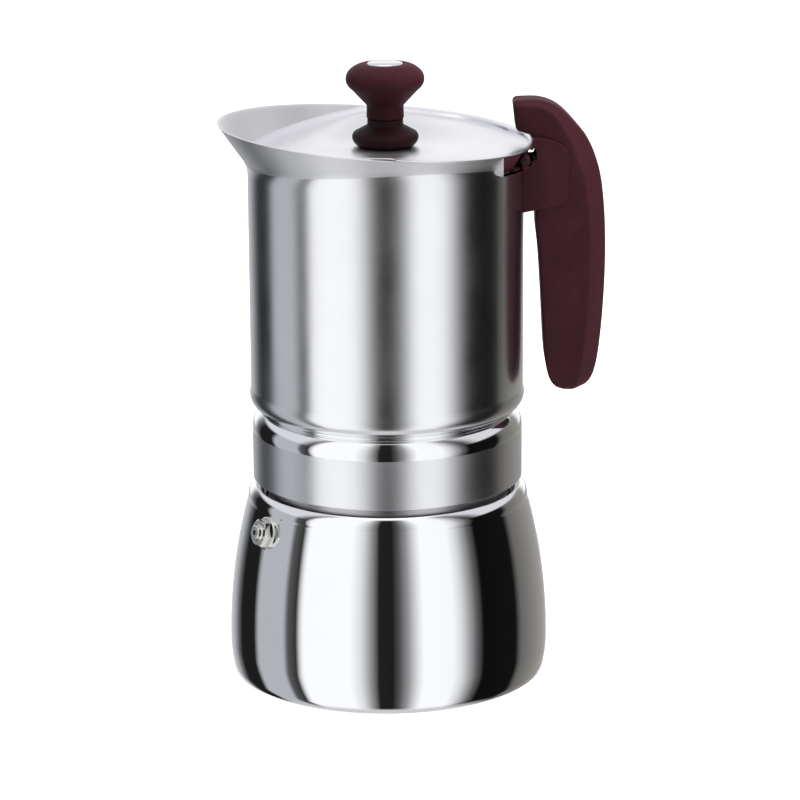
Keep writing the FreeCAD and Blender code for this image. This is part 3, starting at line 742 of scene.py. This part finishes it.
def close_end(loop, direction, depth, shrink):
    """Loops that round an end off: the loop shrinks towards its centre as it moves out by depth."""
    centre = sum((p for p in loop), Vector()) / len(loop)
    out = []
    for k in range(1, 9):
        angle = math.pi / 2 * k / 8
        scale = 1 - shrink * (1 - math.cos(angle))
        move = direction * depth * math.sin(angle)
        out.append([centre + (p - centre) * scale + move for p in loop])
    return out


def handle_arm():
    """Moulded arm. Its rear pocket leaves room for the lid's edge, a little less at the two cheeks."""
    wall_x = 44.3
    front = rounded([(wall_x, 155.4), (54.8, 157.5, 3.0), (58.9, 159.6, 3.0), (58.9, 176.4, 4.0),
                     (53.6, 179.2, 6.0), (48.0, 180.1, 0.4), (47.5, 178.4)], closed=False)[:-1]

    def slice_outline(radius):
        pocket = [(PIN_X + radius * math.cos(math.radians(a)), PIN_Z + radius * math.sin(math.radians(a)))
                  for a in (54, 44, 34, 24, 14, 4, -6, -15, -24, -30)]
        return front + pocket + [(wall_x, 171.5 if radius == HINGE_ROOM_R else PIN_Z - radius / 2)]
    levels = [(-ARM_HALF, CHEEK_ROOM_R), (-CHEEK_HALF, CHEEK_ROOM_R), (-CHEEK_HALF, HINGE_ROOM_R),
              (CHEEK_HALF, HINGE_ROOM_R), (CHEEK_HALF, CHEEK_ROOM_R), (ARM_HALF, CHEEK_ROOM_R)]
    points, faces = [], []
    for y, radius in levels:
        for x, z in slice_outline(radius):
            points.append((math.sqrt((VESSEL_R - 0.1) ** 2 - y * y) if x < 45.0 else x, y, z))
    size = len(points) // len(levels)
    faces.append(list(range(size))[::-1])
    faces.append(list(range((len(levels) - 1) * size, len(levels) * size)))
    for k in range(len(levels) - 1):
        for i in range(size):
            j = (i + 1) % size
            ring = [k * size + i, k * size + j, (k + 1) * size + j, (k + 1) * size + i]
            if len({tuple(points[v]) for v in ring}) == 4:
                faces.append(ring)
    made = as_object("handle_arm_block", points, faces, ["burgundy"])
    fix_normals(made, weld_within=1e-7)
    rounding = made.modifiers.new("rounding", "BEVEL")
    rounding.width = 0.9 * MM
    rounding.segments = 4
    rounding.limit_method = "ANGLE"
    rounding.angle_limit = math.radians(50)
    rounding.harden_normals = True
    return finish_piece(made, "pot", "burgundy_soft", "handle_arm")


# =====================================================================================
# CAD pieces that stay
# =====================================================================================
KEPT_NODES = {
    "base_disc": "base", "valve_body": "valve", "valve_washer": "valve", "valve_nut": "valve",
    "valve_seat": "brass", "valve_pin": "dark", "valve_spring": "fastener", "filter_funnel": "inside",
    "funnel_sieve": "inside", "gasket": "rubber", "upper_sieve": "inside", "vessel_floor": "inside",
    "column": "inside", "column_cap": "inside", "hinge_block": "burgundy", "hinge_pin": "dark",
    # the lid lugs are steel but take the dark material: painted shade where they sit in the hinge's shadow
    "handle_bracket": "fastener", "handle_screw": "fastener", "lid_lugs": "dark",
    "knob_screw": "fastener", "knob_washer": "fastener",
}


def dress_kept_nodes():
    for name, key in KEPT_NODES.items():
        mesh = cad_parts[name].data
        mesh.materials.clear()
        mesh.materials.append(MATERIALS[key])
        mesh.polygons.foreach_set("use_smooth", [True] * len(mesh.polygons))
        mesh.set_sharp_from_angle(angle=math.radians(30))


# =====================================================================================
# studio
# =====================================================================================
def make_camera():
    data = bpy.data.cameras.new("camera")
    data.lens = CAMERA_LENS
    data.sensor_width = 36.0
    data.shift_x = CAMERA_SHIFT_X
    data.clip_end = 20.0
    camera = add_object("camera", data)
    turn = Matrix.Rotation(math.pi / 2 - CAMERA_PITCH, 4, "X") @ Matrix.Rotation(CAMERA_ROLL, 4, "Z")
    camera.matrix_world = Matrix.Translation(CAMERA_PLACE) @ turn
    bpy.context.scene.camera = camera


# Brightness of the studio walls by azimuth, in degrees from straight behind the camera towards +X,
# and how warm the light is there. Softboxes stand where it is high and black flags where it is low.
STUDIO_WALLS = (
    (-180, 0.92, 0), (-166, 0.60, 0), (-150, 0.36, -1), (-141, 0.12, -1), (-134, 0.012, 0),
    (-114, 0.012, 0), (-108, 0.44, -1), (-82, 0.44, -1), (-78, 0.09, 0), (-70, 0.03, 0),
    (-67, 0.62, 0), (-64, 0.95, 0),
    (-28, 0.95, 0), (-20, 0.70, 0), (-13, 0.28, 0), (-7, 0.014, 2), (3, 0.012, 2), (8, 0.08, 0),
    (14, 0.28, 0), (20, 0.66, 0), (25, 0.95, 0), (47, 0.92, 0), (54, 0.66, 0), (60, 0.34, 0),
    (66, 0.11, 0), (72, 0.004, 0),
    (105, 0.006, 0), (112, 0.13, 1), (146, 0.27, 2), (160, 0.34, 0), (180, 0.92, 0),
)
# Where the other parts of the studio fade in, as limits on a direction's Y or Z, and their colours.
BEHIND_Y, BEHIND_COLOUR = (0.80, 0.92), (0.96, 0.96, 0.97, 1)
LOW_WALL_Z = (-0.16, -0.10)
UPPER_Z, UPPER_Y, UPPER_COLOUR = (0.25, 0.36), (-0.35, -0.02), (0.65, 0.65, 0.68, 1)
OVERHEAD_Z, OVERHEAD_COLOUR = (0.86, 0.95), (1.10, 1.10, 1.10, 1)
UNDERFOOT_Z, UNDERFOOT_COLOUR = (0.70, 0.88), (0.58, 0.58, 0.585, 1)
BACKDROP_COLOUR = (1.0, 1.0, 1.0, 1)
STUDIO_STRENGTH = 1.12


def make_world():
    world = bpy.data.worlds.new("studio")
    bpy.context.scene.world = world
    world.use_nodes = True
    tree = world.node_tree
    tree.nodes.clear()

    def node(kind, **settings):
        made = tree.nodes.new(kind)
        for key, value in settings.items():
            setattr(made, key, value)
        return made

    def math_node(operation, first, second=None):
        made = node("ShaderNodeMath", operation=operation)
        for index, value in enumerate((first, second)):
            if value is None:
                continue
            if isinstance(value, (int, float)):
                made.inputs[index].default_value = value
            else:
                tree.links.new(value, made.inputs[index])
        return made.outputs[0]

    def mix(factor, a, b):
        made = node("ShaderNodeMix", data_type="RGBA")
        for socket, value in (("Factor", factor), ("A", a), ("B", b)):
            if isinstance(value, tuple):
                made.inputs[socket].default_value = value
            else:
                tree.links.new(value, made.inputs[socket])
        return made.outputs["Result"]

    def ease(value, low, high):
        made = node("ShaderNodeMapRange", interpolation_type="SMOOTHSTEP")
        made.inputs["From Min"].default_value = low
        made.inputs["From Max"].default_value = high
        tree.links.new(value, made.inputs["Value"])
        return made.outputs["Result"]

    direction = node("ShaderNodeTexCoord").outputs["Generated"]
    split = node("ShaderNodeSeparateXYZ")
    tree.links.new(direction, split.inputs[0])
    azimuth = math_node("ARCTAN2", split.outputs["X"], math_node("MULTIPLY", split.outputs["Y"], -1.0))
    turn = math_node("ADD", math_node("DIVIDE", azimuth, 2 * math.pi), 0.5)
    ramp = node("ShaderNodeValToRGB")
    tree.links.new(turn, ramp.inputs["Fac"])
    stops = ramp.color_ramp.elements
    while len(stops) < len(STUDIO_WALLS):
        stops.new(0.5)
    for stop, (degrees, level, warmth) in zip(stops, STUDIO_WALLS):
        stop.position = (degrees + 180) / 360
        stop.color = (level * (0.985 + 0.03 * warmth), level * 0.99, level * (1.0 - 0.05 * warmth), 1)
    height = split.outputs["Z"]
    behind = ease(split.outputs["Y"], *BEHIND_Y)
    walls = mix(behind, ramp.outputs["Color"], BEHIND_COLOUR)
    low_walls = mix(ease(height, *LOW_WALL_Z), ramp.outputs["Color"], walls)
    in_upper_band = math_node("MULTIPLY", ease(height, *UPPER_Z), ease(split.outputs["Y"], *UPPER_Y))
    upper = mix(in_upper_band, low_walls, UPPER_COLOUR)
    ceiling = mix(ease(height, *OVERHEAD_Z), upper, OVERHEAD_COLOUR)
    floorward = ease(math_node("MULTIPLY", height, -1.0), *UNDERFOOT_Z)
    surround = mix(floorward, ceiling, UNDERFOOT_COLOUR)
    seen = node("ShaderNodeLightPath").outputs["Is Camera Ray"]
    colour = mix(seen, surround, BACKDROP_COLOUR)
    background = node("ShaderNodeBackground")
    tree.links.new(colour, background.inputs["Color"])
    background.inputs["Strength"].default_value = STUDIO_STRENGTH
    out = node("ShaderNodeOutputWorld")
    tree.links.new(background.outputs[0], out.inputs["Surface"])


def area_light(name, place, target, size, power):
    """Softbox that lights the pot and isn't mirrored in it. Places and size are in metres."""
    data = bpy.data.lights.new(name, "AREA")
    data.shape = "RECTANGLE"
    data.size, data.size_y = size
    data.energy = power
    lamp = add_object(name, data)
    lamp.location = place
    lamp.rotation_euler = (Vector(target) - Vector(place)).to_track_quat("-Z", "Y").to_euler()
    lamp.visible_glossy = False


def make_floor():
    half = 6.0
    corners = [(-half, -half, 0), (half, -half, 0), (half, half, 0), (-half, half, 0)]
    mesh = bpy.data.meshes.new("floor")
    mesh.from_pydata(corners, [], [(0, 1, 2, 3)])
    floor = add_object("floor", mesh)
    made = Surface("floor_pale", Roughness=0.7)
    made.shader.inputs["Specular IOR Level"].default_value = 0.1
    made.shader.inputs["Base Color"].default_value = (0.93, 0.93, 0.935, 1)
    made.shader.inputs["Emission Color"].default_value = (1.0, 1.0, 1.0, 1)
    made.shader.inputs["Emission Strength"].default_value = 0.42
    mesh.materials.append(made.material)
    floor.visible_glossy = False


def make_studio():
    make_camera()
    make_world()
    make_floor()
    area_light("key_top", (0.1, -0.1, 1.25), (0, 0, 0.12), (0.7, 0.7), 15.0)
    area_light("rim_right", (1.1, -0.16, 0.35), (0.05, 0, 0.14), (0.5, 0.9), 12.0)
    view = bpy.context.scene.view_settings
    view.view_transform = "Standard"
    view.look = "None"
    view.exposure = 0.0
    view.gamma = 1.0


# =====================================================================================
make_studio()
boiler_shell()
boiler_neck()
collar()
vessel()
lid()
knob()
knob_disc()
knob_foot()
handle()
handle_arm()
dress_kept_nodes()
